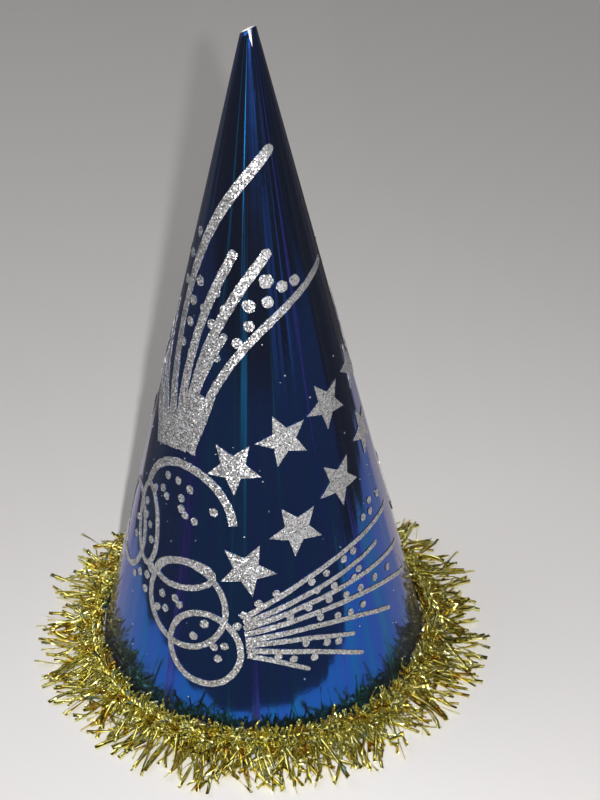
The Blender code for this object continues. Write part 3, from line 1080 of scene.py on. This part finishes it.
def level_card(*corners, height=CARD_LIFT):
    """A level card, just over the floor unless it is raised."""
    bm = bmesh.new()
    bm.faces.new([bm.verts.new((x, y, height)) for x, y in corners])
    return bm


def make_screens():
    """Glowing screens that only reflections see and that shed no light: painted reflections.

    They paint a dark room round a lit sheet of paper, with a few paler panels and bright strips
    that paint highlights; the dim card at the left paints the hat's shadow on the floor, as
    mirrored.
    """
    dark = screen_material("dark screen", 0.028)
    dim = screen_material("dim screen", 0.075)
    soft = screen_material("soft screen", 0.10)
    pale = screen_material("pale screen", 0.13)
    window = screen_material("window screen", 0.20)
    strip = screen_material("strip screen", 0.9)
    end = WALL_RADIUS
    right_flag = level_card((0.32, -end), (end, -end), (end, end), (0.32, end), height=WALL_HEIGHT)
    # The dim card paints, for reflections only, the floor in the hat's shadow at the left
    left_shadow_card = level_card(
        (-end, LEFT_SHADOW_CARD_FRONT), (-0.056, LEFT_SHADOW_CARD_FRONT), (-0.091, -0.070), (-0.110, -0.057),
        (-0.128, -0.022), (-0.135, 0.03), (-0.11, 0.12), (-0.07, 0.21), (-0.05, 0.40),
        (-0.05, end), (-end, end),
    )
    right_card = level_card(
        (end, end), (0.06, end), (0.07, 0.40), (0.16, 0.22), (0.25, 0.12), (0.215, CARD_FRONT),
        (end, CARD_FRONT),
    )
    front_card = level_card(
        (-end, -end), (end, -end), (end, CARD_FRONT), (0.0, CARD_FRONT), (-0.03, LEFT_SHADOW_CARD_FRONT),
        (-end, LEFT_SHADOW_CARD_FRONT),
    )
    # Each screen glows for reflections only: painted reflections of a room, its windows and
    # strips, and the floor
    screens = (
        ("room_wall", curved_screen(WALL_RADIUS, -180, 180, 0.0, WALL_HEIGHT), dark),
        ("right_flag", right_flag, dark),
        ("left_shadow_card", left_shadow_card, dim),
        ("right_card", right_card, dark),
        ("front_card", front_card, soft),
        ("front_panel", curved_screen(1.3, -26, 26, 0.30, 0.56), pale),
        ("side_panel", curved_screen(1.25, 32, 62, 0.0, 0.24), window),
        ("side_strip", curved_screen(1.2, 49, 51.5, 0.0, 0.34), strip),
        ("back_panel", curved_screen(1.3, 150, 205, 0.16, 0.75), window),
        ("back_strip", curved_screen(1.2, 190, 193, 0.10, 0.80), strip),
        ("left_panel", curved_screen(1.3, 226, 258, 0.16, 0.75), window),
        ("right_panel", curved_screen(1.3, 84, 122, 0.20, 0.75), pale),
    )
    for name, bm, material in screens:
        screen = piece_from(name, bm, material)
        screen.visible_camera = False
        screen.visible_diffuse = False
        screen.visible_shadow = False


def add_area_light(name, place, target, size, power, color=(1, 1, 1)):
    light = bpy.data.lights.new(name, "AREA")
    light.energy = power
    light.color = color
    light.shape = "DISK"
    light.size = size
    lamp = bpy.data.objects.new(name, light)
    lamp.location = place
    lamp.rotation_euler = (Vector(target) - Vector(place)).to_track_quat("-Z", "Y").to_euler()
    bpy.context.scene.collection.objects.link(lamp)


def make_lights():
    add_area_light(
        "front_lamp", (0.021, -0.392, 0.360), (0.0, 0.45, 0.05),
        size=0.010, power=2.6, color=(1.0, 0.985, 0.97),
    )
    add_area_light("back_softbox", (0.7, 1.5, 1.1), (0, 0, 0.08), size=1.2, power=2.6)
    add_area_light("top_softbox", (-0.8, 0.2, 1.2), (0, 0.1, 0), size=1.3, power=5.0)


def make_world():
    """A pale room: what the camera and mirrors see is pale, and the light it sheds is low."""
    world = bpy.data.worlds.new("pale room")
    bpy.context.scene.world = world
    world.use_nodes = True
    tree = world.node_tree
    tree.nodes.clear()
    shed = add_node(tree, "ShaderNodeBackground", Strength=ROOM_LIGHT, Color=(*ROOM_TINT, 1.0))
    seen = add_node(tree, "ShaderNodeBackground", Strength=1.0, Color=(*PALE_ROOM, 1.0))
    room = mix_shaders(
        tree, seen_by_eye_or_mirror(tree), shed.outputs["Background"], seen.outputs["Background"]
    )
    add_node(tree, "ShaderNodeOutputWorld", Surface=room)


def make_camera():
    """The camera, a little above the hat and looking down on it."""
    eye = Vector((0, -EYE_DISTANCE * math.cos(EYE_RISE), EYE_DISTANCE * math.sin(EYE_RISE)))
    level = math.cos(TILT)
    ahead = Vector((math.sin(PAN) * level, math.cos(PAN) * level, math.sin(TILT)))
    right = Vector((math.cos(PAN), -math.sin(PAN), 0))
    up = right.cross(ahead)
    side = right * math.cos(ROLL) + up * math.sin(ROLL)
    top = up * math.cos(ROLL) - right * math.sin(ROLL)
    data = bpy.data.cameras.new("camera")
    data.sensor_width = SENSOR_SIZE
    data.lens = FOCAL_PIXELS / PICTURE_HEIGHT * SENSOR_SIZE
    data.clip_start = 0.01
    camera = bpy.data.objects.new("camera", data)
    turned = Matrix((side, top, -ahead)).transposed().to_4x4()
    camera.matrix_world = Matrix.Translation(eye) @ turned
    bpy.context.scene.collection.objects.link(camera)
    bpy.context.scene.camera = camera


def main():
    bpy.context.scene.view_settings.view_transform = "Standard"
    tone = make_uneven_tone()
    make_camera()
    make_floor()
    make_screens()
    make_lights()
    make_world()
    card = make_white_card(tone)
    make_foil_cone(make_blue_foil(), card)
    # The tip's white stroke is a painted highlight on the crease
    make_tip_painted_highlight(card)
    make_ornament(make_silver_glitter())
    make_garland(make_gold_film(tone))
    make_thread(make_core_thread(tone))
    dress_kept_nodes(make_hot_melt(tone), make_clear_tape(tone))


main()
